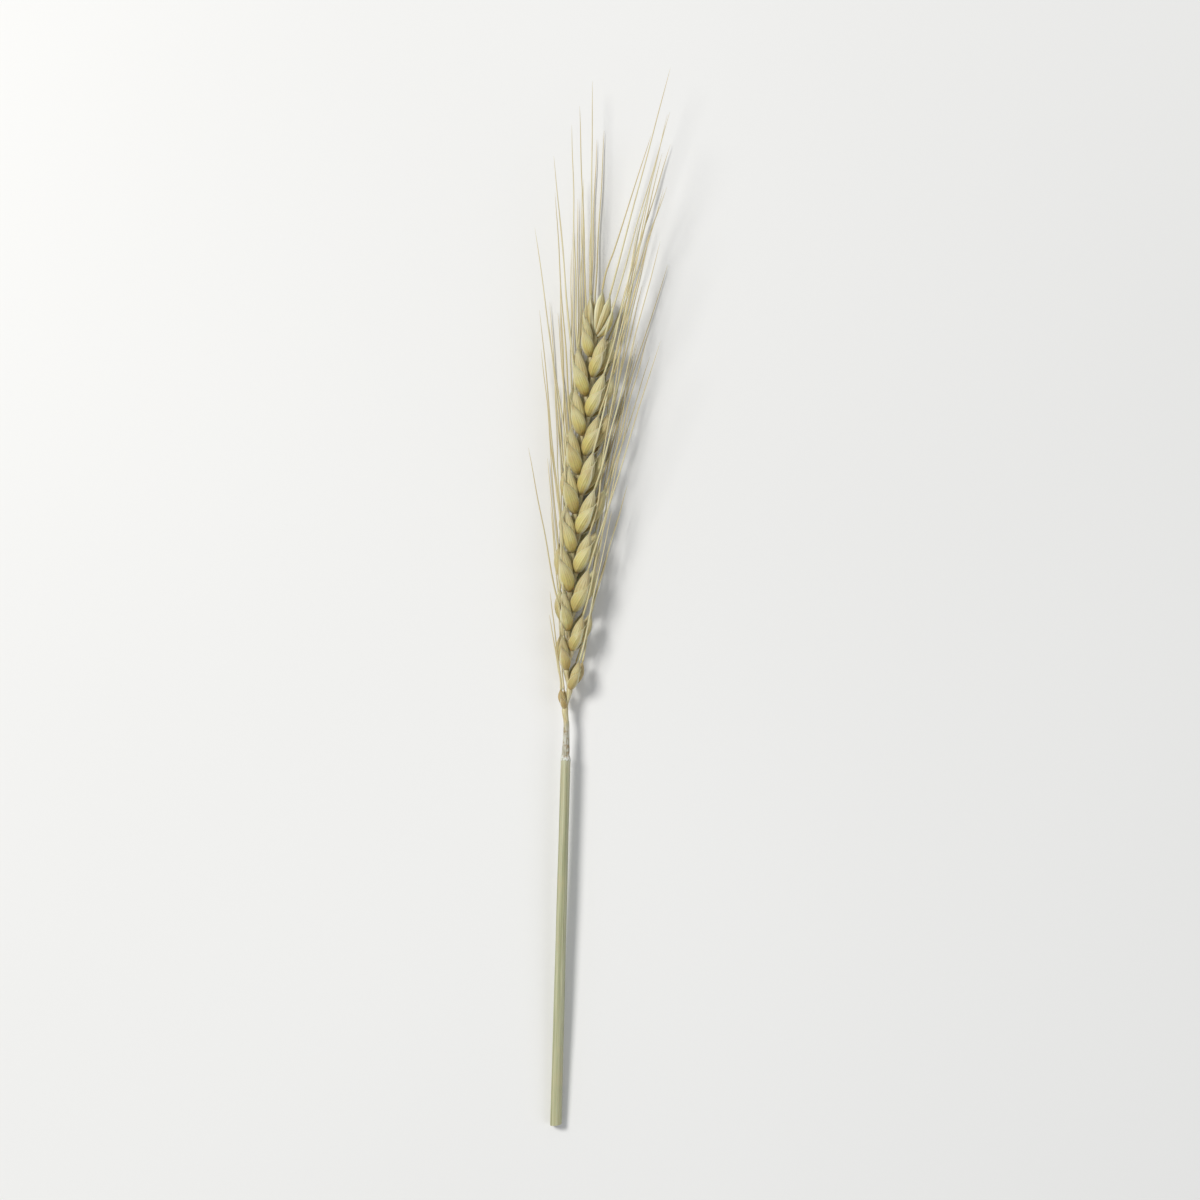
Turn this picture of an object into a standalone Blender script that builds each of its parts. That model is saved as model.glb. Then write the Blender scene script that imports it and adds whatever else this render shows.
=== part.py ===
"""A bearded wheat ear on its cut stem, lying on the surface z = 0, in metres.

The ear points along +Y. Its two rows of spikelets stand out to -X and +X, and each spikelet fans up and down.
"""

import math
import random

import bmesh
import bpy
from mathutils import Matrix, Vector

MM = 0.001
SEED = 7

# Ear: spikelets left and right in turn, one on each node of the rachis
SPIKELETS = 19
FIRST_NODE = 1.0 * MM
INTERNODE = 4.55 * MM
EAR_LENGTH = 97.0 * MM
EAR_HEIGHT = 3.98 * MM
EAR_BEND = 5.2 * MM
EAR_TWIST = math.radians(18)
TIP_RISE = 0.7 * MM
RACHIS_RADIUS = 0.78 * MM
RACHIS_END_RADIUS = 0.55 * MM
RACHIS_END = 2.0 * MM
RACHIS_ZIGZAG = 0.45 * MM
RACHIS_SIDES = 6
NECK_LENGTH = 10.0 * MM
NECK_RADII = (0.85 * MM, 0.7 * MM)
SURFACE_CUT = 5.0 * MM

# Stem: a straw that thickens a little towards its cut end, which touches the surface
STEM_LENGTH = 86.0 * MM
STEM_LEAN = 0.027
STEM_TOP_RADIUS = 1.12 * MM
STEM_CUT_RADIUS = 1.35 * MM
CUT_END_HEIGHT = 1.37 * MM
STEM_SIDES = 12
STEM_POINTS = 14
JOINT_GAP = 0.3 * MM
CAP_WELD = 0.01 * MM
SHARP_ANGLE = math.radians(50)

# Spikelets: how far each row leans out from the rachis, and how much smaller the lowest ones are
LEFT_LEAN = math.radians(17)
RIGHT_LEAN = math.radians(31)
BASAL_SHRINK = 0.56
BASAL_RUN = 2.1
TOP_SHRINK = 0.12
TOP_RUN = 5
END_SIZE = 0.95
END_OPENING = 0.85
LEAN_VARIES = math.radians(4)
ROLL_VARIES = math.radians(7)
SIZE_VARIES = 0.05

# Husks: a glume closes each side of the fan, and florets stand between and beyond the glumes
GLUME = {"length": 8.9 * MM, "width": 1.75 * MM, "back": 1.45 * MM, "belly": 0.8 * MM, "bulge": 0.85}
FLORET = {"length": 11.8 * MM, "width": 1.65 * MM, "back": 1.4 * MM, "belly": 1.25 * MM, "bulge": 1.0}
MIDDLE = {"length": 12.2 * MM, "width": 1.5 * MM, "back": 1.35 * MM, "belly": 1.25 * MM, "bulge": 1.25}
# Husk, side of the fan, lean back to the rachis, leans in the fan at root and tip, shift outward, awn share
FAN = (
    (GLUME, 1, 0.0, math.radians(44), math.radians(8), -0.25 * MM, 0.0),
    (GLUME, -1, 0.0, math.radians(44), math.radians(8), -0.25 * MM, 0.0),
    (FLORET, 1, math.radians(12), math.radians(25), math.radians(7), 0.2 * MM, 1.0),
    (FLORET, -1, math.radians(18), math.radians(25), math.radians(7), -0.3 * MM, 0.92),
    (MIDDLE, 1, math.radians(5), math.radians(3), math.radians(-2), 0.9 * MM, 0.7),
)
FULLNESS = 0.65
POINTEDNESS = 0.6
SHIFT_TURN = math.radians(190)
HUSK_RINGS = (0.1, 0.3, 0.53, 0.78)
HUSK_SIDES = 5
LENGTH_VARIES = 0.05
FAN_VARIES = math.radians(4)

# Awns: tapered bristles that run on from the florets' tips
AWN_LENGTH = 58.0 * MM
AWN_RADIUS = 0.34 * MM
AWN_END_RADIUS = 0.17 * MM
AWN_RINGS = (0.0, 0.3, 0.68)
AWN_LENGTH_VARIES = (0.86, 1.1)
AWN_SPREAD = math.radians(9)
AWN_SPREAD_VARIES = (0.5, 1.5)
AWN_FLATNESS = 0.45
AWN_SWAY = 0.05
AWN_STRAIGHT = 0.04
AWN_TURN = 4.0
AWN_CLEARANCE = 0.2 * MM
AWN_SOFTNESS = 1.2 * MM


def material(name, colour, roughness):
    """A plain surface of one colour."""
    finish = bpy.data.materials.new(name)
    finish.use_nodes = True
    surface = finish.node_tree.nodes["Principled BSDF"]
    surface.inputs["Base Color"].default_value = (*colour, 1.0)
    surface.inputs["Roughness"].default_value = roughness
    surface.inputs["Metallic"].default_value = 0.0
    finish.diffuse_color = (*colour, 1.0)
    return finish


def smooth(share):
    """An even rise from 0 to 1 as the share goes from 0 to 1."""
    share = min(max(share, 0.0), 1.0)
    return share * share * (3.0 - 2.0 * share)


def axis_point(along):
    """The middle of the stem and the rachis, at this distance from the ear's base."""
    ear = max(along, 0.0) / EAR_LENGTH
    stem = min(along, 0.0) / (NECK_LENGTH + STEM_LENGTH)
    x = STEM_LEAN * along + EAR_BEND * ear * ear
    z = EAR_HEIGHT + TIP_RISE * ear * ear - (EAR_HEIGHT - CUT_END_HEIGHT) * stem * stem
    return Vector((x, along, z))


def axis_frame(along):
    """The rachis there: its middle, and its directions to the tip, to the right row and up."""
    onward = (axis_point(along + MM) - axis_point(along - MM)).normalized()
    twist = Matrix.Rotation(-EAR_TWIST * smooth(along / EAR_LENGTH), 3, onward)
    right = (twist @ onward.cross(Vector((0, 0, 1)))).normalized()
    return axis_point(along), onward, right, right.cross(onward)


def spikelet_frames():
    """Each spikelet: its root, its directions along, outward and across, its size, opening and folding."""
    draw = random.Random(SEED)
    frames = []
    for index in range(SPIKELETS):
        middle, onward, right, up = axis_frame(FIRST_NODE + INTERNODE * index)
        side = 1 if index % 2 else -1
        lean = (RIGHT_LEAN if side > 0 else LEFT_LEAN) + draw.uniform(-LEAN_VARIES, LEAN_VARIES)
        roll = Matrix.Rotation(draw.uniform(-ROLL_VARIES, ROLL_VARIES), 3, onward)
        out = roll @ (right * side)
        fan = roll @ up
        size = 1.0 - BASAL_SHRINK * math.exp(-index / BASAL_RUN)
        size -= TOP_SHRINK * smooth((index - SPIKELETS + 1 + TOP_RUN) / TOP_RUN)
        size *= 1.0 + draw.uniform(-SIZE_VARIES, SIZE_VARIES)
        along = onward * math.cos(lean) + out * math.sin(lean)
        outward = out * math.cos(lean) - onward * math.sin(lean)
        root = middle + right * (side * RACHIS_ZIGZAG)
        frames.append((root, along, outward, fan, size, 1.0, lean / RIGHT_LEAN))
    middle, onward, right, up = axis_frame(FIRST_NODE + INTERNODE * SPIKELETS)
    frames.append((middle, onward, up, right, END_SIZE, END_OPENING, 0.0))
    return frames


def rest_on_surface(point, radius):
    """The point, lifted where it would sink into the surface."""
    height = point.z - radius - AWN_CLEARANCE
    lifted = 0.5 * (height + math.sqrt(height * height + AWN_SOFTNESS * AWN_SOFTNESS))
    return Vector((point.x, point.y, lifted + radius + AWN_CLEARANCE))


def solid_from_rings(name, first, rings, last):
    """A sphere of few faces, its poles set to first and last and each of its rings to one section."""
    mesh = bmesh.new()
    bmesh.ops.create_uvsphere(mesh, u_segments=HUSK_SIDES, v_segments=len(rings) + 1, radius=1.0)
    for vertex in mesh.verts:
        polar = math.acos(max(-1.0, min(1.0, vertex.co.z)))
        station = round(polar / math.pi * (len(rings) + 1))
        if station == 0:
            vertex.co = first
        elif station == len(rings) + 1:
            vertex.co = last
        else:
            centre, across, back, width, outer, inner = rings[station - 1]
            turn = math.atan2(vertex.co.y, vertex.co.x) + math.pi / 2
            rise = math.sin(turn)
            depth = outer if rise > 0 else inner
            vertex.co = centre + across * (width * math.cos(turn)) + back * (depth * rise)
    data = bpy.data.meshes.new(name)
    mesh.to_mesh(data)
    mesh.free()
    return data


def husk(name, frame, entry, draw):
    """One glume, or one floret's lemma with its awn, as a closed boat that starts inside the rachis."""
    root, along, outward, fan, size, opening, folding = frame
    shape, side, fold, root_lean, tip_lean, shift, awn_share = entry
    fold *= folding
    length = shape["length"] * size * (1.0 + draw.uniform(-LENGTH_VARIES, LENGTH_VARIES))
    root_lean = (root_lean + draw.uniform(-FAN_VARIES, FAN_VARIES)) * opening
    tip_lean *= opening
    awn_length = AWN_LENGTH * awn_share * size * draw.uniform(*AWN_LENGTH_VARIES)
    spread = AWN_SPREAD * draw.uniform(*AWN_SPREAD_VARIES)
    sway = Vector((draw.uniform(-AWN_SWAY, AWN_SWAY), 0.0, draw.uniform(-AWN_SWAY, AWN_SWAY)))
    fan = fan * side
    turned_in = along * math.cos(fold) - outward * math.sin(fold)
    turned_out = outward * math.cos(fold) + along * math.sin(fold)

    def section(share, swell):
        lean = root_lean + (tip_lean - root_lean) * share
        chord = root_lean + (tip_lean - root_lean) * share / 2
        reach = turned_in * math.cos(chord) + fan * math.sin(chord)
        aside = turned_out * (shift * size * math.sin(SHIFT_TURN * share))
        forward = turned_in * math.cos(lean) + fan * math.sin(lean)
        back = fan * math.cos(lean) - turned_in * math.sin(lean)
        sizes = (shape["width"] * swell, shape["back"] * swell, shape["belly"] * swell)
        return root + reach * (length * share) + aside, forward.cross(back), back, *sizes

    rings = []
    for share in HUSK_RINGS:
        fullness = math.sin(math.pi * share ** shape["bulge"]) ** (FULLNESS + POINTEDNESS * share)
        rings.append(section(share, size * fullness))
    tip = section(1.0, 0.0)[0]
    if awn_share == 0.0:
        return solid_from_rings(name, root, rings, tip)

    onward = axis_frame(tip.y)[1]
    away = tip - axis_point(tip.y)
    away.z *= AWN_FLATNESS
    away = (away - onward * away.dot(onward)).normalized()
    start = (tip - rings[-1][0]).normalized()
    end = (onward * math.cos(spread) + away * math.sin(spread) + sway).normalized()

    def awn_point(share):
        radius = AWN_RADIUS + (AWN_END_RADIUS - AWN_RADIUS) * share
        turned = smooth(share * AWN_TURN)
        reach = start * (1.0 - turned) + end * turned
        path = start * min(share, AWN_STRAIGHT) + reach * max(share - AWN_STRAIGHT, 0.0)
        return rest_on_surface(tip + path * awn_length, radius), radius

    for share in AWN_RINGS:
        centre, radius = awn_point(share)
        ahead = (awn_point(share + AWN_STRAIGHT)[0] - centre).normalized()
        across = ahead.cross(rings[0][2]).normalized()
        rings.append((centre, across, across.cross(ahead), radius, radius, radius))
    return solid_from_rings(name, root, rings, awn_point(1.0)[0])


def tube(name, points, radii, sides):
    """A closed round bar along the points, as a mesh."""
    curve = bpy.data.curves.new(name, "CURVE")
    curve.dimensions = "3D"
    curve.bevel_depth = 1.0 * MM
    curve.bevel_resolution = sides // 2 - 2
    curve.use_fill_caps = True
    spline = curve.splines.new("POLY")
    spline.points.add(len(points) - 1)
    for place, point, radius in zip(spline.points, points, radii):
        place.co = (*point, 1.0)
        place.radius = radius / curve.bevel_depth
    guide = bpy.data.objects.new(name + "_guide", curve)
    bpy.context.scene.collection.objects.link(guide)
    bpy.context.view_layer.update()
    evaluated = guide.evaluated_get(bpy.context.evaluated_depsgraph_get())
    data = bpy.data.meshes.new_from_object(evaluated)
    bpy.data.objects.remove(guide)
    bpy.data.curves.remove(curve)
    mesh = bmesh.new()
    mesh.from_mesh(data)
    bmesh.ops.remove_doubles(mesh, verts=mesh.verts, dist=CAP_WELD)
    bmesh.ops.recalc_face_normals(mesh, faces=mesh.faces)
    mesh.to_mesh(data)
    mesh.free()
    return data


def place(name, data, collection, finish=None):
    """A new object for the mesh."""
    obj = bpy.data.objects.new(name, data)
    collection.objects.link(obj)
    if finish:
        dress(obj, finish)
    return obj


def dress(obj, finish):
    """Gives the object its one finish and smooth shading."""
    obj.data.materials.clear()
    obj.data.materials.append(finish)
    obj.data.shade_smooth()
    obj.data.set_sharp_from_angle(angle=SHARP_ANGLE)


def joined(base, collection):
    """The base object's mesh with every object of the collection united to it, and those then removed."""
    union = base.modifiers.new("union", "BOOLEAN")
    union.operation = "UNION"
    union.operand_type = "COLLECTION"
    union.collection = collection
    union.solver = "EXACT"
    bpy.context.view_layer.update()
    evaluated = base.evaluated_get(bpy.context.evaluated_depsgraph_get())
    data = bpy.data.meshes.new_from_object(evaluated)
    base.modifiers.remove(union)
    base.data = data
    for obj in list(collection.objects):
        bpy.data.objects.remove(obj)
    bpy.data.collections.remove(collection)
    return base


def make_rachis():
    """The zigzag stalk of the ear and the thin neck below it."""
    points = [axis_point(-NECK_LENGTH), axis_point(-NECK_LENGTH / 2)]
    radii = list(NECK_RADII)
    for index in range(SPIKELETS):
        middle, _, right, _ = axis_frame(FIRST_NODE + INTERNODE * index)
        points.append(middle + right * (RACHIS_ZIGZAG if index % 2 else -RACHIS_ZIGZAG))
        radii.append(RACHIS_RADIUS)
    points.append(axis_point(FIRST_NODE + INTERNODE * SPIKELETS + RACHIS_END))
    radii.append(RACHIS_END_RADIUS)
    return tube("ear", points, radii, RACHIS_SIDES)


def make_ear(collection, finish):
    """The head: rachis, glumes, florets and awns grown together, cut flat where it lies on the surface."""
    repeats = bpy.data.collections.new("husks")
    bpy.context.scene.collection.children.link(repeats)
    draw = random.Random(SEED + 1)
    for number, frame in enumerate(spikelet_frames()):
        for order, entry in enumerate(FAN):
            name = f"husk_{number}_{order}"
            place(name, husk(name, frame, entry, draw), repeats)
    ear = joined(place("ear", make_rachis(), collection), repeats)
    dress(ear, finish)
    return ear


def make_stem(collection, finish):
    """The straw from the neck to its cut end."""
    points = []
    radii = []
    for index in range(STEM_POINTS):
        share = index / (STEM_POINTS - 1)
        points.append(axis_point(-NECK_LENGTH - JOINT_GAP - STEM_LENGTH * share))
        radii.append(STEM_TOP_RADIUS + (STEM_CUT_RADIUS - STEM_TOP_RADIUS) * share)
    return place("stem", tube("stem", points, radii, STEM_SIDES), collection, finish)


def centre_on_origin(objects):
    """Moves the meshes together, so that the middle of their common outline is at x = 0 and y = 0."""
    corners = [vertex.co for obj in objects for vertex in obj.data.vertices]
    middle_x = (min(co.x for co in corners) + max(co.x for co in corners)) / 2
    middle_y = (min(co.y for co in corners) + max(co.y for co in corners)) / 2
    for obj in objects:
        obj.data.transform(Matrix.Translation((-middle_x, -middle_y, 0.0)))


def flatten_underside(ear):
    """Takes off what sinks below the surface, which leaves small flats on the lowest husks."""
    cutters = bpy.data.collections.new("cutters")
    bpy.context.scene.collection.children.link(cutters)
    mesh = bmesh.new()
    bmesh.ops.create_cube(mesh, size=1.0)
    bmesh.ops.scale(mesh, vec=(EAR_LENGTH, 2 * EAR_LENGTH, SURFACE_CUT), verts=mesh.verts)
    bmesh.ops.translate(mesh, vec=(0.0, 0.0, -SURFACE_CUT / 2), verts=mesh.verts)
    data = bpy.data.meshes.new("surface_cutter")
    mesh.to_mesh(data)
    mesh.free()
    cutter = place("surface_cutter", data, cutters)
    cutter.hide_render = True
    cutter.display_type = "WIRE"
    cut = ear.modifiers.new("surface", "BOOLEAN")
    cut.operation = "DIFFERENCE"
    cut.object = cutter
    cut.solver = "EXACT"


def main():
    for obj in list(bpy.data.objects):
        bpy.data.objects.remove(obj)
    wheat_ear = bpy.data.collections.new("wheat_ear")
    bpy.context.scene.collection.children.link(wheat_ear)
    stem = make_stem(wheat_ear, material("green_straw", (0.42, 0.42, 0.23), 0.6))
    ear = make_ear(wheat_ear, material("ripe_husk", (0.56, 0.48, 0.19), 0.6))
    centre_on_origin((stem, ear))
    flatten_underside(ear)


main()
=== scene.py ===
import math
import random

import bpy
from mathutils import Matrix, Vector, noise


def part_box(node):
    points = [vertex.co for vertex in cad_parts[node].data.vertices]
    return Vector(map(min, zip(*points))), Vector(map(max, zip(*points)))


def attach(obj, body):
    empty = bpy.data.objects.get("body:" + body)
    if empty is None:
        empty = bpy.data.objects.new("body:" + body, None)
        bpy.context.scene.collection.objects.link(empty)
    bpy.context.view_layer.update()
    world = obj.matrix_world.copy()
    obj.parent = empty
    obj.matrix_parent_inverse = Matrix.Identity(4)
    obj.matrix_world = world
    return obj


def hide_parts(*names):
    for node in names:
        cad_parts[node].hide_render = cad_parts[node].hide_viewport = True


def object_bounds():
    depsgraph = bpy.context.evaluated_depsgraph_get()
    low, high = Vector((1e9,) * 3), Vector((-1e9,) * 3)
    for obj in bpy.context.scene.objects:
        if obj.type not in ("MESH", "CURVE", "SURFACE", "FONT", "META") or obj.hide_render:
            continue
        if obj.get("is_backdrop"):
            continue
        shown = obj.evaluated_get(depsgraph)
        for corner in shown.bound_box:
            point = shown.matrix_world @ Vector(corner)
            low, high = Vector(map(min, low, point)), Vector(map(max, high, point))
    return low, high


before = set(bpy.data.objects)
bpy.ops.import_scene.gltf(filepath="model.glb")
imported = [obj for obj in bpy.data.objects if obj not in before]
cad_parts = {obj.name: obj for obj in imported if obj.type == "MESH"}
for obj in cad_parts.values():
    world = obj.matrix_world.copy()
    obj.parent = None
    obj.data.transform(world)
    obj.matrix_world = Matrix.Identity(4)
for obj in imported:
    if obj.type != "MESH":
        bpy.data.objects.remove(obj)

cad_low, cad_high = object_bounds()

# Straw. The ear's own stem, a hollow tube of dried grass, cut through at its lower end.
# Its wall is ribbed lengthwise by the fibres, dull grey-green low down and paler under the ear.
# The thin neck of the ear stands in its upper mouth.
scene = bpy.context.scene
MM = 0.001
STEM_LENGTH = 86.0 * MM
STEM_LEAN = 0.027
STEM_TOP_RADIUS = 1.12 * MM
STEM_CUT_RADIUS = 1.35 * MM
CUT_END_HEIGHT = 1.37 * MM
JOINT_GAP = 0.3 * MM
NECK_LENGTH = 10.0 * MM
EAR_LENGTH = 97.0 * MM
EAR_HEIGHT = 3.98 * MM
EAR_BEND = 5.2 * MM
EAR_TWIST = math.radians(18)
TIP_RISE = 0.7 * MM
STRAW_SIDES = 96
STRAW_RINGS = 90
STRAW_WALL = 0.42 * MM
CUT_DEPTH = 7.0 * MM
CUT_SLANT = 0.16
CUT_TRIM = 0.25 * MM
RIB_COUNT = 22
BROAD_RIBS = 13
RIB_HEIGHT = 0.016
STRAW_FIT = 0.985
STRAW_LIP = 0.05
LIP_LENGTH = 0.006
STRAW_WAVER = 0.012
WAVER_TURNS = 21.0
FLOOR_GAP = 0.02 * MM

# Everything below is measured from the foot of the ear, and to_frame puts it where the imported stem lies.
stem_low, stem_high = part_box("stem")
stem_cut = -NECK_LENGTH - JOINT_GAP - STEM_LENGTH
stem_top = -NECK_LENGTH - JOINT_GAP
plain_middle = (STEM_LEAN * (stem_cut + stem_top) - STEM_CUT_RADIUS + STEM_TOP_RADIUS) / 2
to_frame = Vector(((stem_low.x + stem_high.x) / 2 - plain_middle, stem_high.y - stem_top, 0.0))


def smooth(share):
    """Runs from 0 to 1 with a soft start and a soft end."""
    share = min(max(share, 0.0), 1.0)
    return share * share * (3.0 - 2.0 * share)


def axis_point(along):
    """The middle of straw and rachis, at this distance from the foot of the ear."""
    ear = max(along, 0.0) / EAR_LENGTH
    stem = min(along, 0.0) / (NECK_LENGTH + STEM_LENGTH)
    x = STEM_LEAN * along + EAR_BEND * ear * ear
    z = EAR_HEIGHT + TIP_RISE * ear * ear - (EAR_HEIGHT - CUT_END_HEIGHT) * stem * stem
    return Vector((x, along, z))


def axis_frame(along):
    """The middle there, and the directions to the tip, to the right row and up."""
    onward = (axis_point(along + MM) - axis_point(along - MM)).normalized()
    twist = Matrix.Rotation(-EAR_TWIST * smooth(along / EAR_LENGTH), 3, onward)
    right = (twist @ onward.cross(Vector((0, 0, 1)))).normalized()
    return axis_point(along), onward, right, right.cross(onward)


def new_skin():
    """An empty surface: its points and faces, and what its finish reads at each of them."""
    return {"points": [], "faces": [], "grain": [], "reach": [], "tone": [], "age": []}


def add_rows(skin, rows, closed=False, tone=0.5, age=0.0, span=(0.0, 1.0), capped=False):
    """Adds the surface through rows of points. Reach runs along the piece from its root to its tip."""
    first = len(skin["points"])
    width = len(rows[0])
    columns = width if closed else width - 1
    shares = [span[0] + (span[1] - span[0]) * index / (len(rows) - 1) for index in range(len(rows))]
    for row, share in zip(rows, shares):
        skin["points"].extend(row)
        skin["reach"].extend([share] * width)
        skin["tone"].extend([tone] * width)
        skin["age"].extend([age] * width)
    for index in range(len(rows) - 1):
        for column in range(columns):
            here = first + index * width
            beside = (column + 1) % width
            skin["faces"].append((here + column, here + beside, here + width + beside, here + width + column))
            left, right = column / columns, (column + 1) / columns
            low, high = shares[index], shares[index + 1]
            skin["grain"].append(((left, low), (right, low), (right, high), (left, high)))
    if capped:
        last = first + (len(rows) - 1) * width
        for start, order, share in ((first, -1, shares[0]), (last, 1, shares[-1])):
            loop = [start + column for column in range(width)][::order]
            skin["faces"].append(tuple(loop))
            skin["grain"].append(tuple((0.5, share) for _ in loop))


def skin_object(name, skin, finish, node):
    """Makes the piece, which stands for a node and rides with it."""
    data = bpy.data.meshes.new(name)
    data.from_pydata([tuple(point + to_frame) for point in skin["points"]], [], skin["faces"])
    data.update()
    uv = data.uv_layers.new(name="grain")
    corners = [place for face in skin["grain"] for place in face]
    uv.data.foreach_set("uv", [value for place in corners for value in place])
    for label in ("reach", "tone", "age"):
        layer = data.attributes.new(label, "FLOAT", "POINT")
        layer.data.foreach_set("value", skin[label])
    data.materials.append(finish)
    data.shade_smooth()
    made = bpy.data.objects.new(name, data)
    scene.collection.objects.link(made)
    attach(made, "root")
    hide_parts(node)
    return made


def ring(middle, right, up, wide, high, sides, ripple=None):
    """Points round a tube, in the order that turns its faces outwards."""
    row = []
    for index in range(sides):
        turn = 2 * math.pi * index / sides
        swell = 1.0 + (ripple(turn) if ripple else 0.0)
        row.append(middle + right * (math.cos(turn) * wide * swell) - up * (math.sin(turn) * high * swell))
    return row


def nodes_of(name):
    """A new material, with its node tree and its surface shader."""
    made = bpy.data.materials.new(name)
    made.use_nodes = True
    tree = made.node_tree
    return made, tree, tree.nodes["Principled BSDF"]


def join(tree, source, target):
    """Links one socket to another."""
    tree.links.new(source, target)


def reading(tree, label):
    """The value of one of the piece's own attributes."""
    node = tree.nodes.new("ShaderNodeAttribute")
    node.attribute_name = label
    return node.outputs["Fac"]


def fibres(tree, across, along, detail=4.0, distortion=0.0):
    """Noise drawn out along the grain of the piece."""
    place = tree.nodes.new("ShaderNodeUVMap")
    place.uv_map = "grain"
    stretch = tree.nodes.new("ShaderNodeMapping")
    stretch.inputs["Scale"].default_value = (across, along, 1.0)
    cloud = tree.nodes.new("ShaderNodeTexNoise")
    cloud.inputs["Scale"].default_value = 1.0
    cloud.inputs["Detail"].default_value = detail
    cloud.inputs["Distortion"].default_value = distortion
    join(tree, place.outputs["UV"], stretch.inputs["Vector"])
    join(tree, stretch.outputs["Vector"], cloud.inputs["Vector"])
    return cloud.outputs["Fac"]


def mottle(tree, scale, detail=3.0):
    """Soft spots of one size all over the piece."""
    place = tree.nodes.new("ShaderNodeTexCoord")
    cloud = tree.nodes.new("ShaderNodeTexNoise")
    cloud.inputs["Scale"].default_value = scale
    cloud.inputs["Detail"].default_value = detail
    join(tree, place.outputs["Object"], cloud.inputs["Vector"])
    return cloud.outputs["Fac"]


def spread(tree, value, low, high, to_low=0.0, to_high=1.0):
    """The value's range from low to high, stretched to another range."""
    node = tree.nodes.new("ShaderNodeMapRange")
    node.inputs["From Min"].default_value = low
    node.inputs["From Max"].default_value = high
    node.inputs["To Min"].default_value = to_low
    node.inputs["To Max"].default_value = to_high
    join(tree, value, node.inputs["Value"])
    return node.outputs["Result"]


def shades(tree, value, stops):
    """Colours that follow the value, from stops of a place and a colour."""
    node = tree.nodes.new("ShaderNodeValToRGB")
    ramp = node.color_ramp
    while len(ramp.elements) < len(stops):
        ramp.elements.new(0.5)
    for element, (position, colour) in zip(ramp.elements, stops):
        element.position = position
        element.color = (*colour, 1.0)
    join(tree, value, node.inputs["Fac"])
    return node.outputs["Color"]


def blend(tree, amount, under, over):
    """One colour laid over another by an amount."""
    node = tree.nodes.new("ShaderNodeMix")
    node.data_type = "RGBA"
    for socket, value in ((node.inputs[0], amount), (node.inputs[6], under), (node.inputs[7], over)):
        if isinstance(value, bpy.types.NodeSocket):
            join(tree, value, socket)
        else:
            socket.default_value = value if isinstance(value, float) else (*value, 1.0)
    return node.outputs[2]


def sums(tree, operation, first, second=0.0):
    """Two numbers put together, or the first one alone where the operation takes only one."""
    node = tree.nodes.new("ShaderNodeMath")
    node.operation = operation
    for socket, value in zip(node.inputs, (first, second)):
        if isinstance(value, bpy.types.NodeSocket):
            join(tree, value, socket)
        else:
            socket.default_value = value
    return node.outputs[0]


def relief(tree, surface, height, strength, depth):
    """Turns a height into fine relief on the surface."""
    node = tree.nodes.new("ShaderNodeBump")
    node.inputs["Strength"].default_value = strength
    node.inputs["Distance"].default_value = depth
    join(tree, height, node.inputs["Height"])
    join(tree, node.outputs["Normal"], surface.inputs["Normal"])


def straw_finish():
    """Dry straw: fine lengthwise fibres, grey-green below the middle and paler at both ends."""
    made, tree, surface = nodes_of("straw")
    down = reading(tree, "reach")
    wall = shades(tree, down, (
        (0.0, (0.56, 0.53, 0.38)), (0.03, (0.44, 0.43, 0.26)), (0.25, (0.40, 0.40, 0.23)),
        (0.62, (0.36, 0.375, 0.21)), (1.0, (0.44, 0.43, 0.24))))
    bands = fibres(tree, 8.0, 1.2, 3.0, 0.2)
    wall = blend(tree, spread(tree, bands, 0.48, 0.62, 0.0, 0.7), wall, (0.58, 0.58, 0.38))
    wall = blend(tree, spread(tree, bands, 0.46, 0.34, 0.0, 0.6), wall, (0.27, 0.29, 0.15))
    streaks = fibres(tree, 26.0, 1.6, 5.0, 0.2)
    wall = blend(tree, spread(tree, streaks, 0.46, 0.66, 0.0, 0.7), wall, (0.62, 0.61, 0.41))
    wall = blend(tree, spread(tree, fibres(tree, 60.0, 5.0), 0.50, 0.68, 0.0, 0.7), wall, (0.23, 0.24, 0.12))
    wall = blend(tree, spread(tree, mottle(tree, 130.0), 0.56, 0.72, 0.0, 0.35), wall, (0.52, 0.45, 0.25))
    inside = reading(tree, "age")
    wall = blend(tree, inside, wall, (0.62, 0.55, 0.36))
    join(tree, wall, surface.inputs["Base Color"])
    fine = fibres(tree, 90.0, 3.0, 6.0)
    join(tree, spread(tree, fine, 0.3, 0.7, 0.42, 0.62), surface.inputs["Roughness"])
    relief(tree, surface, fine, 0.9, 0.00016)
    surface.inputs["Sheen Weight"].default_value = 0.08
    surface.inputs["Subsurface Weight"].default_value = 0.06
    surface.inputs["Subsurface Scale"].default_value = 0.001
    return made


def straw_ripple(turn):
    """How far the ribs stand out, fine ones over broad ones."""
    fine = 0.6 * math.cos(RIB_COUNT * turn)
    broad = 0.4 * math.cos(BROAD_RIBS * turn + 1.1)
    return RIB_HEIGHT * (fine + broad)


def straw_radius(share):
    """The straw's radius there. It wavers a little, and there is a slight lip at the mouth."""
    plain = STEM_TOP_RADIUS + (STEM_CUT_RADIUS - STEM_TOP_RADIUS) * share
    lip = STRAW_LIP * math.exp(-((share - LIP_LENGTH) / LIP_LENGTH) ** 2)
    return plain * (STRAW_FIT + lip + STRAW_WAVER * math.sin(share * WAVER_TURNS))


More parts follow.
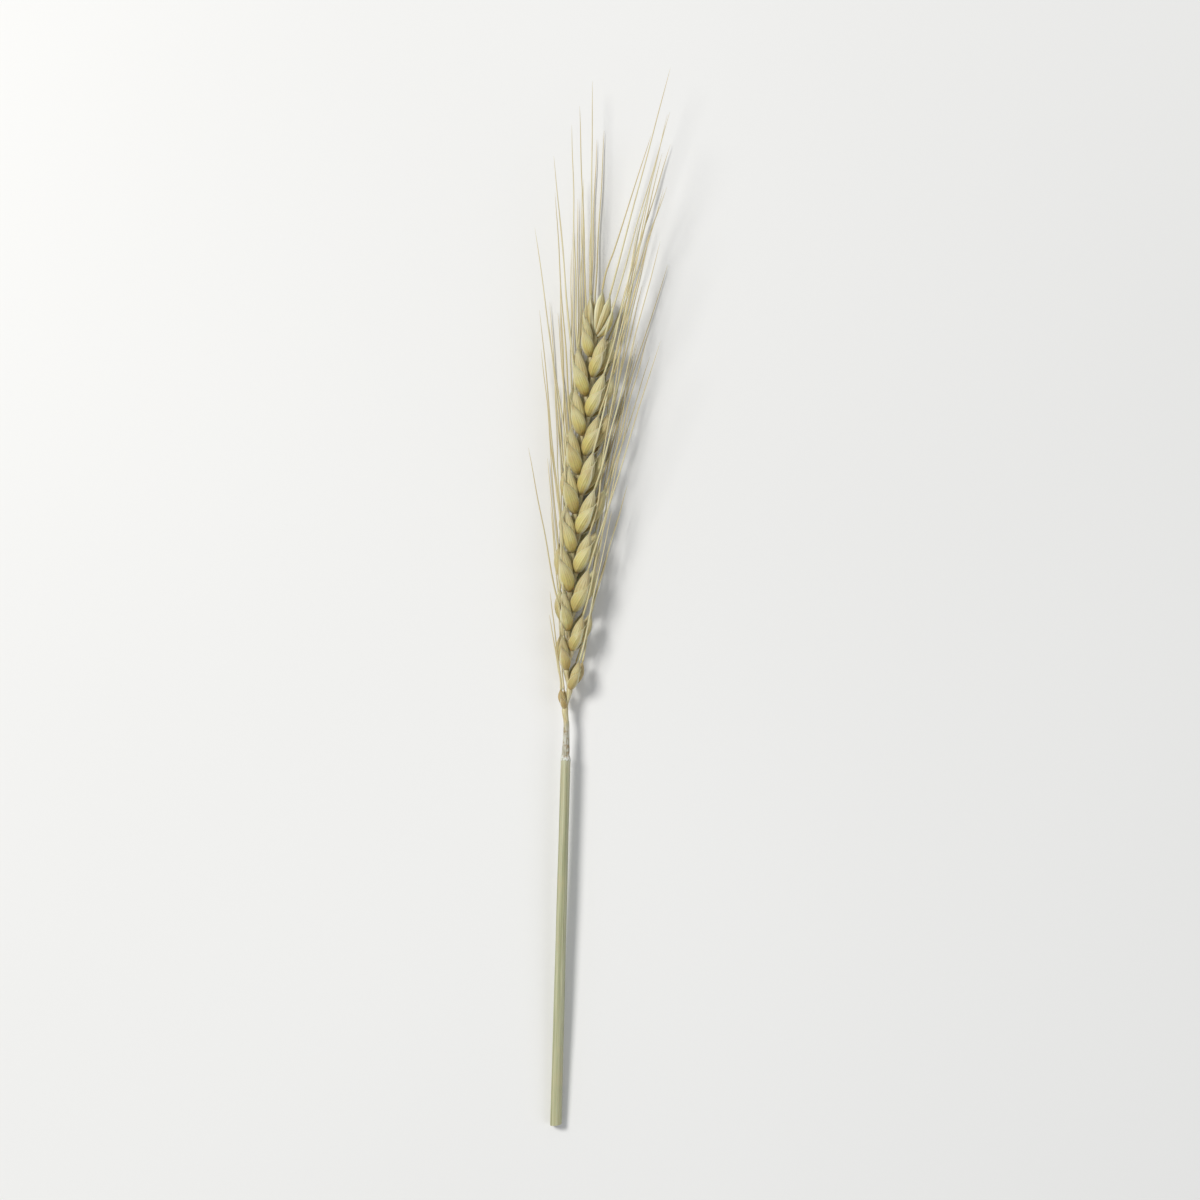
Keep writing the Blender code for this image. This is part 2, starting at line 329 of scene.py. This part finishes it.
def straw_row(share, factor, depth):
    """A ring of the straw, drawn in by a factor and moved up by a depth. The lowest ones slant."""
    along = stem_top - STEM_LENGTH * share
    middle, onward, right, up = axis_frame(along)
    radius = straw_radius(share) * factor
    row = ring(middle + onward * depth, right, up, radius, radius, STRAW_SIDES, straw_ripple)
    if share == 1.0:
        row = [point + onward * ((point - middle).dot(right) * CUT_SLANT + CUT_TRIM) for point in row]
    return [Vector((point.x, point.y, max(point.z, FLOOR_GAP))) for point in row]


skin = new_skin()
inner = 1.0 - STRAW_WALL / STEM_CUT_RADIUS
wall_rows = [straw_row(index / STRAW_RINGS, 1.0, 0.0) for index in range(STRAW_RINGS + 1)]
add_rows(skin, wall_rows[::-1], closed=True, span=(1.0, 0.0))
# Each step from the wall inwards is a share of the radius and a way up the straw.
mouth_edge = ((1.0, 0.0), (0.93, 0.04 * MM), (0.84, -0.2 * MM), (0.8, -2.0 * MM))
mouth_rows = [straw_row(0.0, factor, depth) for factor, depth in mouth_edge]
add_rows(skin, mouth_rows, closed=True, span=(0.0, 0.02), age=0.4)
cut_edge = (
    (1.0, 0.0), (0.97, -0.03 * MM), (inner + 0.04, -0.03 * MM), (inner, 0.1 * MM),
    (inner, CUT_DEPTH * 0.5), (inner * 0.96, CUT_DEPTH), (inner * 0.02, CUT_DEPTH * 1.02),
)
cut_rows = [straw_row(1.0, factor, depth)[::-1] for factor, depth in cut_edge]
add_rows(skin, cut_rows, closed=True, span=(1.0, 0.9), age=0.8)
skin_object("straw", skin, straw_finish(), "stem")

# Neck. The last thin length of stem under the first husks, wrapped in the dry remains of its leaf sheath.
# The sheath is papery and whitish grey, wrinkled lengthwise, and torn where it ends at the straw's mouth.
SPIKELETS = 19
FIRST_NODE = 1.0 * MM
INTERNODE = 4.55 * MM
RACHIS_ZIGZAG = 0.45 * MM
NECK_BEND = 4.0 * MM
NECK_RADIUS = 0.56 * MM
NECK_SUNK = 1.0 * MM
SHEATH_TOP_RADIUS = 0.64 * MM
SHEATH_FOOT_RADIUS = 0.92 * MM
SHEATH_FLARE = 0.3 * MM
SHEATH_OVERLAP = 0.8 * MM
SHEATH_SIDES = 64
SHEATH_RINGS = 44
SHEATH_TEAR = 0.9 * MM
SHEATH_END = -0.9 * MM
SHEATH_TOP_TEAR = 1.6 * MM
SHEATH_PAPER = 0.07 * MM
FLARE_SHARE = 0.08
WRINKLE_DEPTH = 0.16


def paper_finish():
    """Weathered leaf sheath: chalky grey-white with straw showing through in streaks."""
    made, tree, surface = nodes_of("dry_sheath")
    streaks = fibres(tree, 20.0, 3.0, 5.0, 0.4)
    paper = shades(tree, streaks, (
        (0.3, (0.24, 0.20, 0.12)), (0.44, (0.42, 0.39, 0.30)),
        (0.6, (0.58, 0.56, 0.48)), (0.75, (0.72, 0.71, 0.66))))
    paper = blend(tree, spread(tree, mottle(tree, 900.0), 0.54, 0.64, 0.0, 0.8), paper, (0.30, 0.21, 0.10))
    upward = reading(tree, "reach")
    paper = blend(tree, spread(tree, upward, 0.10, 0.02), paper, (0.76, 0.75, 0.70))
    paper = blend(tree, spread(tree, upward, 0.72, 1.0, 0.0, 0.75), paper, (0.56, 0.50, 0.30))
    join(tree, paper, surface.inputs["Base Color"])
    fine = fibres(tree, 46.0, 6.0, 6.0)
    relief(tree, surface, fine, 0.7, 0.00015)
    surface.inputs["Roughness"].default_value = 0.82
    surface.inputs["Subsurface Weight"].default_value = 0.1
    surface.inputs["Subsurface Scale"].default_value = 0.0008
    return made


def node_offset(index):
    """How far to the right a joint of the rachis stands. The end one is in the middle."""
    if index >= SPIKELETS:
        return 0.0
    return RACHIS_ZIGZAG if index % 2 else -RACHIS_ZIGZAG


def stalk_frame(along):
    """The middle of neck and rachis there, which swings from node to node, and the ways right and up."""
    middle, onward, right, up = axis_frame(along)
    index, part_way = divmod((along - FIRST_NODE) / INTERNODE, 1.0)
    aside = node_offset(index) + (node_offset(index + 1) - node_offset(index)) * smooth(part_way)
    if along < FIRST_NODE:
        aside = node_offset(0) * smooth(1.0 - (FIRST_NODE - along) / NECK_BEND)
    return middle + right * aside, right, up


def sheath_row(share):
    """A ring of the sheath. Both its edges are torn unevenly, and the lower one turns out a little."""
    row = []
    for index in range(SHEATH_SIDES):
        turn = 2 * math.pi * index / SHEATH_SIDES
        way = Vector((math.cos(turn), math.sin(turn), 0.0))
        tear = SHEATH_TEAR * (0.5 + noise.noise(way * 2.3 + Vector((0, 0, 4.0))))
        foot = stem_top - SHEATH_OVERLAP + tear
        top = SHEATH_END - SHEATH_TOP_TEAR * (0.5 + noise.noise(way * 1.9))
        along = foot + (top - foot) * share
        middle, right, up = stalk_frame(along)
        wrinkle = noise.noise(Vector((way.x * 4.5, way.y * 4.5, share * 3.0)))
        plain = SHEATH_FOOT_RADIUS + (SHEATH_TOP_RADIUS - SHEATH_FOOT_RADIUS) * smooth(share * 1.2)
        radius = plain * (1.0 + WRINKLE_DEPTH * wrinkle * smooth(share * 6))
        radius += SHEATH_FLARE * math.exp(-(share / FLARE_SHARE) ** 2)
        row.append(middle + right * (way.x * radius) - up * (way.y * radius))
    return row


skin = new_skin()
add_rows(skin, [sheath_row(index / SHEATH_RINGS) for index in range(SHEATH_RINGS + 1)], closed=True)
sheath = skin_object("neck_sheath", skin, paper_finish(), "ear")
paper = sheath.modifiers.new("paper", "SOLIDIFY")
paper.thickness = SHEATH_PAPER
paper.offset = -1.0

# Rachis. The zigzag stalk that carries the husks, flattened between its joints and wider at each one.
# It is pale, tough straw, and grows on from the neck in one piece.
RACHIS_THICK = 0.62 * MM
RACHIS_WIDE = 0.95 * MM
RACHIS_SIDES = 28
RACHIS_STEPS = 9
RACHIS_TAPER = 0.25
RACHIS_END = 2.0 * MM
END_TAPER = 0.7
SWELL_ABOVE = 0.16
SWELL_BELOW = 0.22
# Its two half widths as shares of the plain ones: between the joints, and what a joint adds.
SLIM_THICK = 0.92
SLIM_WIDE = 0.82
JOINT_THICK = 0.28
JOINT_WIDE = 0.26
NECK_STEPS = 26


def rachis_finish():
    """Pale straw with a satin face and fine fibres."""
    made, tree, surface = nodes_of("rachis_straw")
    streaks = fibres(tree, 14.0, 40.0, 5.0, 0.2)
    stalk = shades(tree, streaks, (
        (0.3, (0.44, 0.36, 0.17)), (0.5, (0.58, 0.51, 0.27)), (0.7, (0.68, 0.63, 0.42))))
    stalk = blend(tree, spread(tree, mottle(tree, 420.0), 0.5, 0.7, 0.0, 0.5), stalk, (0.50, 0.38, 0.20))
    join(tree, stalk, surface.inputs["Base Color"])
    relief(tree, surface, fibres(tree, 40.0, 60.0, 5.0), 0.5, 0.0001)
    surface.inputs["Roughness"].default_value = 0.58
    surface.inputs["Subsurface Weight"].default_value = 0.06
    surface.inputs["Subsurface Scale"].default_value = 0.001
    return made


def rachis_size(along):
    """Half its width there, between the rows and upwards. It swells at each joint and thins to the tip."""
    part_way = (along - FIRST_NODE) / INTERNODE % 1.0
    knot = math.exp(-(part_way / SWELL_ABOVE) ** 2) + math.exp(-((1 - part_way) / SWELL_BELOW) ** 2)
    taper = 1.0 - RACHIS_TAPER * along / EAR_LENGTH
    thick = RACHIS_THICK * taper * (SLIM_THICK + JOINT_THICK * knot)
    wide = RACHIS_WIDE * taper * (SLIM_WIDE + JOINT_WIDE * knot)
    return thick, wide


rows = []
foot = stem_top - NECK_SUNK
foot_wide, foot_high = rachis_size(FIRST_NODE)
for step in range(NECK_STEPS):
    share = step / NECK_STEPS
    middle, right, up = stalk_frame(foot + (FIRST_NODE - foot) * share)
    grown = smooth(share * 3 - 2)
    wide = NECK_RADIUS + (foot_wide - NECK_RADIUS) * grown
    high = NECK_RADIUS + (foot_high - NECK_RADIUS) * grown
    rows.append(ring(middle, right, up, wide, high, RACHIS_SIDES))
for step in range(SPIKELETS * RACHIS_STEPS + 1):
    along = FIRST_NODE + INTERNODE * step / RACHIS_STEPS
    middle, right, up = stalk_frame(along)
    wide, high = rachis_size(along)
    rows.append(ring(middle, right, up, wide, high, RACHIS_SIDES))
for share in (0.3, 0.6, 0.85, 1.0):
    middle, right, up = stalk_frame(along + RACHIS_END * share)
    left_over = 1 - END_TAPER * share
    rows.append(ring(middle, right, up, wide * left_over, high * left_over, RACHIS_SIDES))
skin = new_skin()
add_rows(skin, rows, closed=True, capped=True)
skin_object("rachis", skin, rachis_finish(), "ear")

# Husks. Each joint of the rachis bears a fan of dry husks: a keeled glume closes each side of the fan,
# and between them stand three lemmas with the palea behind each. All are thin shells of one growth with
# the rachis, ochre at the root, yellow-olive where they are plump, and paler and greyer at the tip.
SEED = 7
LEFT_LEAN = math.radians(17)
RIGHT_LEAN = math.radians(31)
BASAL_SHRINK = 0.56
BASAL_RUN = 2.1
TOP_SHRINK = 0.12
TOP_RUN = 5
END_SIZE = 0.95
END_OPENING = 0.85
LEAN_VARIES = math.radians(4)
ROLL_VARIES = math.radians(7)
SIZE_VARIES = 0.05
LENGTH_VARIES = 0.05
FAN_VARIES = math.radians(4)
FULLNESS = 0.65
POINTEDNESS = 0.6
SHIFT_TURN = math.radians(190)
# Each husk's length, half its width, how far its back and belly stand out, and where it is widest.
GLUME = {"length": 8.9 * MM, "width": 1.75 * MM, "back": 1.45 * MM, "belly": 0.8 * MM, "bulge": 0.85}
FLORET = {"length": 11.8 * MM, "width": 1.65 * MM, "back": 1.4 * MM, "belly": 1.25 * MM, "bulge": 1.0}
MIDDLE = {"length": 12.2 * MM, "width": 1.5 * MM, "back": 1.35 * MM, "belly": 1.25 * MM, "bulge": 1.25}
# Each husk of a fan: its side, fold towards the rachis, lean at root and tip, shift outwards, awn share.
FAN = (
    (GLUME, 1, 0.0, math.radians(44), math.radians(8), -0.25 * MM, 0.0),
    (GLUME, -1, 0.0, math.radians(44), math.radians(8), -0.25 * MM, 0.0),
    (FLORET, 1, math.radians(12), math.radians(25), math.radians(7), 0.2 * MM, 1.0),
    (FLORET, -1, math.radians(18), math.radians(25), math.radians(7), -0.3 * MM, 0.92),
    (MIDDLE, 1, math.radians(5), math.radians(3), math.radians(-2), 0.9 * MM, 0.7),
)
AWN_LENGTH = 58.0 * MM
AWN_RADIUS = 0.34 * MM
AWN_END_RADIUS = 0.17 * MM
AWN_LENGTH_VARIES = (0.86, 1.1)
AWN_SPREAD = math.radians(9)
AWN_SPREAD_VARIES = (0.5, 1.5)
AWN_FLATNESS = 0.45
AWN_SWAY = 0.05
AWN_STRAIGHT = 0.04
AWN_TURN = 4.0
TIP_SLOPE_FROM = 0.78
AWN_CLEARANCE = 0.2 * MM
AWN_SOFTNESS = 1.2 * MM
GLUME_WRAP = math.radians(86)
GLUME_TURN = math.radians(14)
LEMMA_WRAP = math.radians(124)
LEMMA_KEEL = 0.05
PALEA_WRAP = math.radians(62)
PALEA_SIZE = 0.88
PALEA_LIFT = 0.16
KEEL_HEIGHT = 0.13
KEEL_PLACE = 0.22
KEEL_WIDTH = 0.17
NERVE_HEIGHT = 0.022
NERVE_TURNS = 26.0
VEIN_TURNS = 62.0
VEIN_WAVER = 0.035
TIP_NARROWNESS = 0.62
NARROWING_RUN = 0.35
HUSK_STEPS = 22
HUSK_COLUMNS = 24
HUSK_THICK = 0.11 * MM
GLUME_POINT = 0.05
LEMMA_POINT = 0.14
BASAL_AGE = 0.75
AGE_RUN = 2.2
AGE_VARIES = 0.22


def spikelet_frames():
    """Each fan's root, its ways along, outward and across, its size, and how far it opens and folds."""
    draw = random.Random(SEED)
    frames = []
    for index in range(SPIKELETS):
        middle, onward, right, up = axis_frame(FIRST_NODE + INTERNODE * index)
        side = 1 if index % 2 else -1
        lean = (RIGHT_LEAN if side > 0 else LEFT_LEAN) + draw.uniform(-LEAN_VARIES, LEAN_VARIES)
        roll = Matrix.Rotation(draw.uniform(-ROLL_VARIES, ROLL_VARIES), 3, onward)
        out = roll @ (right * side)
        fan = roll @ up
        size = 1.0 - BASAL_SHRINK * math.exp(-index / BASAL_RUN)
        size -= TOP_SHRINK * smooth((index - SPIKELETS + 1 + TOP_RUN) / TOP_RUN)
        size *= 1.0 + draw.uniform(-SIZE_VARIES, SIZE_VARIES)
        along = onward * math.cos(lean) + out * math.sin(lean)
        outward = out * math.cos(lean) - onward * math.sin(lean)
        root = middle + right * node_offset(index)
        frames.append((root, along, outward, fan, size, 1.0, lean / RIGHT_LEAN))
    middle, onward, right, up = axis_frame(FIRST_NODE + INTERNODE * SPIKELETS)
    frames.append((middle, onward, up, right, END_SIZE, END_OPENING, 0.0))
    return frames


def rest_on_surface(point, radius):
    """The same point of an awn, lifted softly where it would come too near the table."""
    height = point.z - radius - AWN_CLEARANCE
    lifted = 0.5 * (height + math.sqrt(height * height + AWN_SOFTNESS * AWN_SOFTNESS))
    return Vector((point.x, point.y, lifted + radius + AWN_CLEARANCE))


def husk_plan(fan_frame, entry, draw):
    """One husk's own course: where its middle line runs, how wide it is, and where its awn goes."""
    root, along, outward, fan, size, opening, folding = fan_frame
    shape, side, fold, root_lean, tip_lean, shift, awn_share = entry
    fold *= folding
    length = shape["length"] * size * (1.0 + draw.uniform(-LENGTH_VARIES, LENGTH_VARIES))
    root_lean = (root_lean + draw.uniform(-FAN_VARIES, FAN_VARIES)) * opening
    tip_lean *= opening
    awn_length = AWN_LENGTH * awn_share * size * draw.uniform(*AWN_LENGTH_VARIES)
    spread_angle = AWN_SPREAD * draw.uniform(*AWN_SPREAD_VARIES)
    sway = Vector((draw.uniform(-AWN_SWAY, AWN_SWAY), 0.0, draw.uniform(-AWN_SWAY, AWN_SWAY)))
    fan = fan * side
    inward = along * math.cos(fold) - outward * math.sin(fold)
    aside = outward * math.cos(fold) + along * math.sin(fold)

    def section(share):
        lean = root_lean + (tip_lean - root_lean) * share
        chord = root_lean + (tip_lean - root_lean) * share / 2
        reach = inward * math.cos(chord) + fan * math.sin(chord)
        shifted = aside * (shift * size * math.sin(SHIFT_TURN * share))
        forward = inward * math.cos(lean) + fan * math.sin(lean)
        back = fan * math.cos(lean) - inward * math.sin(lean)
        swell = max(math.sin(math.pi * share ** shape["bulge"]), 0.0) ** (FULLNESS + POINTEDNESS * share)
        return root + reach * (length * share) + shifted, forward.cross(back), back, forward, size * swell

    tip = section(1.0)[0]
    onward = axis_frame(tip.y)[1]
    away = tip - axis_point(tip.y)
    away.z *= AWN_FLATNESS
    away = (away - onward * away.dot(onward)).normalized()
    start = (tip - section(TIP_SLOPE_FROM)[0]).normalized()
    end = (onward * math.cos(spread_angle) + away * math.sin(spread_angle) + sway).normalized()

    def awn_point(share):
        turned = smooth(share * AWN_TURN)
        reach = start * (1.0 - turned) + end * turned
        path = start * min(share, AWN_STRAIGHT) + reach * max(share - AWN_STRAIGHT, 0.0)
        radius = AWN_RADIUS + (AWN_END_RADIUS - AWN_RADIUS) * share
        return rest_on_surface(tip + path * awn_length, radius)

    outer = 1.0 if section(0.5)[1].dot(outward) > 0 else -1.0
    return {"shape": shape, "section": section, "awn": awn_point, "awned": awn_share > 0,
            "outer": outer, "size": size}


def shell_rows(plan, wrap, point, turn_about=0.0, first=0.0, last=1.0, keel=0.0, shrink=1.0, lift=0.0):
    """The rows of one thin boat, from its root to its tip and from edge to edge."""
    shape = plan["shape"]
    rows = []
    for step in range(HUSK_STEPS + 1):
        share = first + (last - first) * step / HUSK_STEPS
        middle, across, back, forward, swell = plan["section"](share)
        swell = max(swell * shrink, point * plan["size"])
        narrow = TIP_NARROWNESS + (1.0 - TIP_NARROWNESS) * smooth((1.0 - share) / NARROWING_RUN)
        row = []
        for column in range(HUSK_COLUMNS + 1):
            place = 2.0 * column / HUSK_COLUMNS - 1.0
            turn = place * wrap * narrow + turn_about
            rise = math.cos(turn)
            depth = shape["back"] if rise > 0 else shape["belly"]
            ridge = keel * math.exp(-((place - KEEL_PLACE * plan["outer"]) / KEEL_WIDTH) ** 2)
            nerve = NERVE_HEIGHT * math.cos(place * NERVE_TURNS) * (1.0 - abs(place))
            out = (depth * rise * (1.0 + nerve) + (ridge * shape["back"] + lift * shape["belly"])) * swell
            aside = shape["width"] * math.sin(turn) * swell * (1.0 + nerve)
            spot = middle + across * aside + back * out
            row.append(Vector((spot.x, spot.y, max(spot.z, FLOOR_GAP))))
        rows.append(row)
    return rows


def husk_finish(name, colours, margin, ageing):
    """Dry husk: veins along it, pale skin at its edges, brown at its root and grey-cream near its tip."""
    made, tree, surface = nodes_of(name)
    upward = reading(tree, "reach")
    husk = shades(tree, upward, colours)
    husk = blend(tree, reading(tree, "age"), husk, ageing)
    tone = reading(tree, "tone")
    husk = blend(tree, spread(tree, tone, 0.5, 1.0, 0.0, 0.4), husk, (0.72, 0.63, 0.25))
    husk = blend(tree, spread(tree, tone, 0.5, 0.0, 0.0, 0.4), husk, (0.45, 0.40, 0.14))
    patches = mottle(tree, 330.0, 4.0)
    husk = blend(tree, spread(tree, patches, 0.50, 0.70, 0.0, 0.6), husk, (0.50, 0.36, 0.13))
    husk = blend(tree, spread(tree, patches, 0.46, 0.30, 0.0, 0.5), husk, (0.72, 0.67, 0.36))
    ochre = spread(tree, mottle(tree, 560.0), 0.48, 0.64)
    ochre = sums(tree, "MULTIPLY", ochre, spread(tree, upward, 0.55, 0.08, 0.08, 0.75))
    husk = blend(tree, ochre, husk, (0.58, 0.37, 0.10))
    place = tree.nodes.new("ShaderNodeUVMap")
    place.uv_map = "grain"
    parts = tree.nodes.new("ShaderNodeSeparateXYZ")
    join(tree, place.outputs["UV"], parts.inputs["Vector"])
    waver = spread(tree, fibres(tree, 3.0, 2.0, 2.0), 0.0, 1.0, -VEIN_WAVER, VEIN_WAVER)
    turns = sums(tree, "MULTIPLY", sums(tree, "ADD", parts.outputs["X"], waver), VEIN_TURNS)
    vein = sums(tree, "SINE", turns)
    vein = spread(tree, vein, 0.25, 1.0)
    grain = fibres(tree, 70.0, 5.0, 5.0)
    lined = sums(tree, "MULTIPLY", vein, spread(tree, upward, 0.3, 0.9, 0.2, 0.5))
    husk = blend(tree, lined, husk, (0.33, 0.265, 0.11))
    husk = blend(tree, spread(tree, grain, 0.52, 0.75, 0.0, 0.5), husk, (0.74, 0.69, 0.45))
    edge = sums(tree, "ABSOLUTE", sums(tree, "SUBTRACT", parts.outputs["X"], 0.5))
    husk = blend(tree, spread(tree, edge, 0.27, 0.44, 0.0, 0.9), husk, margin)
    join(tree, husk, surface.inputs["Base Color"])
    join(tree, spread(tree, grain, 0.3, 0.7, 0.46, 0.66), surface.inputs["Roughness"])
    height = sums(tree, "ADD", sums(tree, "MULTIPLY", vein, 0.6), sums(tree, "MULTIPLY", grain, 0.8))
    relief(tree, surface, height, 0.8, 0.00012)
    surface.inputs["Subsurface Weight"].default_value = 0.08
    surface.inputs["Subsurface Scale"].default_value = 0.001
    surface.inputs["Sheen Weight"].default_value = 0.1
    return made


HUSK_COLOURS = (
    (0.0, (0.30, 0.18, 0.06)), (0.06, (0.47, 0.31, 0.09)), (0.18, (0.64, 0.52, 0.14)),
    (0.48, (0.65, 0.56, 0.17)), (0.7, (0.62, 0.56, 0.28)), (1.0, (0.66, 0.61, 0.43)))
INNER_COLOURS = (
    (0.0, (0.34, 0.22, 0.08)), (0.3, (0.50, 0.40, 0.15)), (0.6, (0.56, 0.49, 0.23)),
    (0.82, (0.60, 0.545, 0.33)), (1.0, (0.63, 0.575, 0.38)))
MARGIN = (0.80, 0.76, 0.52)
AGEING = (0.46, 0.30, 0.11)

frames = spikelet_frames()
draw = random.Random(SEED + 1)
tints = random.Random(SEED + 2)
glumes = new_skin()
lemmas = new_skin()
paleas = new_skin()
awn_plans = []
for number, fan_frame in enumerate(frames):
    age = BASAL_AGE * math.exp(-number / AGE_RUN)
    for entry in FAN:
        plan = husk_plan(fan_frame, entry, draw)
        tone = tints.random()
        worn = min(1.0, age + AGE_VARIES * tints.random())
        if plan["awned"]:
            lemma = shell_rows(plan, LEMMA_WRAP, LEMMA_POINT, first=0.04, keel=LEMMA_KEEL)
            add_rows(lemmas, lemma, tone=tone, age=worn)
            palea = shell_rows(
                plan, PALEA_WRAP, GLUME_POINT, turn_about=math.pi, first=0.1, last=0.94,
                shrink=PALEA_SIZE, lift=PALEA_LIFT)
            add_rows(paleas, palea, tone=tone, age=worn)
        else:
            turned = -GLUME_TURN * plan["outer"]
            glume = shell_rows(plan, GLUME_WRAP, GLUME_POINT, turned, first=0.03, keel=KEEL_HEIGHT)
            add_rows(glumes, glume, tone=tone, age=worn)
        awn_plans.append((plan, tone, worn))
for name, skin, finish in (
    ("glumes", glumes, husk_finish("glume_husk", HUSK_COLOURS, MARGIN, AGEING)),
    ("lemmas", lemmas, husk_finish("lemma_husk", INNER_COLOURS, MARGIN, AGEING)),
    ("paleas", paleas, husk_finish("palea_husk", INNER_COLOURS, MARGIN, AGEING)),
):
    made = skin_object(name, skin, finish, "ear")
    shell = made.modifiers.new("shell", "SOLIDIFY")
    shell.thickness = HUSK_THICK
    shell.offset = -1.0

# Awns. Stiff bristles that each run on from the tip of a lemma, far past the end of the ear.
# They are straw too, three to five times as long as the husk and tapered to a hair. Glumes have only a
# short hard beak of the same stuff.
AWN_SIDES = 8
AWN_STEPS = 30
AWN_THIN = 0.09 * MM
AWN_ROOT = 0.25 * MM
BEAK_ROOT = 0.13 * MM
AWN_SUNK = 0.93
AWN_THINNING = 0.6
AWN_POINT = 0.85
AWN_POINT_RUN = 14
AWN_WAVE = 0.15 * MM
WAVE_TURNS = (1.2, 2.4)
BEAK_LENGTH = 1.1 * MM
BEAK_STEPS = 5
BEAK_TAPER = 0.75
ROOT_CROWDING = 1.25


def awn_finish():
    """Pale straw bristle, a little olive at its root and golden at its end."""
    made, tree, surface = nodes_of("awn_straw")
    bristle = shades(tree, reading(tree, "reach"), (
        (0.0, (0.52, 0.46, 0.22)), (0.12, (0.60, 0.55, 0.31)),
        (0.6, (0.64, 0.58, 0.35)), (1.0, (0.62, 0.52, 0.28))))
    tone = reading(tree, "tone")
    bristle = blend(tree, spread(tree, tone, 0.5, 1.0, 0.0, 0.5), bristle, (0.72, 0.67, 0.46))
    bristle = blend(tree, spread(tree, tone, 0.5, 0.0, 0.0, 0.55), bristle, (0.47, 0.38, 0.17))
    bristle = blend(tree, spread(tree, mottle(tree, 160.0), 0.5, 0.7, 0.0, 0.4), bristle, (0.46, 0.37, 0.17))
    join(tree, bristle, surface.inputs["Base Color"])
    relief(tree, surface, fibres(tree, 12.0, 260.0, 2.0), 0.4, 0.00006)
    surface.inputs["Roughness"].default_value = 0.5
    surface.inputs["Subsurface Weight"].default_value = 0.05
    surface.inputs["Subsurface Scale"].default_value = 0.001
    return made


def bristle_rows(points, radii, side_way):
    """Rings of a tapered bristle that stays above the table and keeps one side facing the same way."""
    points = [Vector((p.x, p.y, max(p.z, radius + FLOOR_GAP))) for p, radius in zip(points, radii)]
    rows = []
    for index, point in enumerate(points):
        before = points[max(index - 1, 0)]
        after = points[min(index + 1, len(points) - 1)]
        ahead = (after - before).normalized()
        across = ahead.cross(side_way).normalized()
        rows.append(ring(point, across, across.cross(ahead), radii[index], radii[index], AWN_SIDES))
    return rows


skin = new_skin()
waves = random.Random(SEED + 3)
for plan, tone, worn in awn_plans:
    tip, across, back, forward, _ = plan["section"](1.0)
    inside = plan["section"](AWN_SUNK)[0]
    wave = AWN_WAVE * plan["size"] ** 2
    phase = waves.uniform(0, 2 * math.pi)
    turns = waves.uniform(*WAVE_TURNS)
    if plan["awned"]:
        points = [inside]
        radii = [AWN_ROOT * 0.5]
        for step in range(AWN_STEPS + 1):
            share = (step / AWN_STEPS) ** ROOT_CROWDING
            point = plan["awn"](share)
            sway = wave * math.sin(phase + turns * 2 * math.pi * share) * share * (1 - share) * 4
            points.append(point + across * sway)
            radius = AWN_ROOT + (AWN_THIN - AWN_ROOT) * share ** AWN_THINNING
            radii.append(radius * (1.0 - AWN_POINT * share ** AWN_POINT_RUN))
    else:
        beak = tip + forward * BEAK_LENGTH - inside
        points = [inside + beak * step / BEAK_STEPS for step in range(BEAK_STEPS + 1)]
        root = BEAK_ROOT * plan["size"]
        radii = [root * (1.0 - BEAK_TAPER * step / BEAK_STEPS) for step in range(BEAK_STEPS + 1)]
    add_rows(skin, bristle_rows(points, radii, back), closed=True, tone=tone, age=worn, capped=True)
skin_object("awns", skin, awn_finish(), "ear")

# Surface, light and camera. The ear lies on a plain pale table in soft daylight from the upper left,
# and the camera looks straight down on it with the tips of the awns at the top.
FLOOR_SIDE = 4.0
CAMERA_LENS = 85.0
FRAME_FILL = 0.88


def table_finish():
    """Matt, pale and very faintly clouded."""
    made, tree, surface = nodes_of("pale_table")
    top = shades(tree, mottle(tree, 3.0, 2.0), ((0.3, (0.80, 0.80, 0.79)), (0.7, (0.84, 0.84, 0.83))))
    join(tree, top, surface.inputs["Base Color"])
    surface.inputs["Roughness"].default_value = 0.8
    return made


bpy.ops.mesh.primitive_plane_add(size=FLOOR_SIDE, location=(0.0, 0.0, 0.0))
table = bpy.context.object
table.name = "table"
table.data.materials.append(table_finish())
table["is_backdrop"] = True


def add_light(name, place, size, power, colour):
    """A round soft light that shines at the middle of the table."""
    lamp = bpy.data.lights.new(name, "AREA")
    lamp.shape = "DISK"
    lamp.size = size
    lamp.energy = power
    lamp.color = colour
    made = bpy.data.objects.new(name, lamp)
    made.location = place
    made.rotation_euler = (-Vector(place)).to_track_quat("-Z", "Y").to_euler()
    scene.collection.objects.link(made)


add_light("key", (-0.82, 0.50, 1.10), 0.48, 17.5, (1.0, 0.985, 0.955))
add_light("fill", (0.95, -0.40, 0.95), 1.0, 3.6, (0.95, 0.97, 1.0))
sky = bpy.data.worlds.new("studio")
sky.use_nodes = True
sky.node_tree.nodes["Background"].inputs["Color"].default_value = (0.95, 0.97, 1.0, 1.0)
sky.node_tree.nodes["Background"].inputs["Strength"].default_value = 0.34
scene.world = sky
scene.view_settings.view_transform = "Standard"

camera = bpy.data.cameras.new("camera")
camera.lens = CAMERA_LENS
view_height = (cad_high.y - cad_low.y) / FRAME_FILL
above = view_height * CAMERA_LENS / camera.sensor_width
camera_object = bpy.data.objects.new("camera", camera)
camera_object.location = ((cad_low.x + cad_high.x) / 2, (cad_low.y + cad_high.y) / 2, above + EAR_HEIGHT)
scene.collection.objects.link(camera_object)
scene.camera = camera_object

low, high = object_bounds()
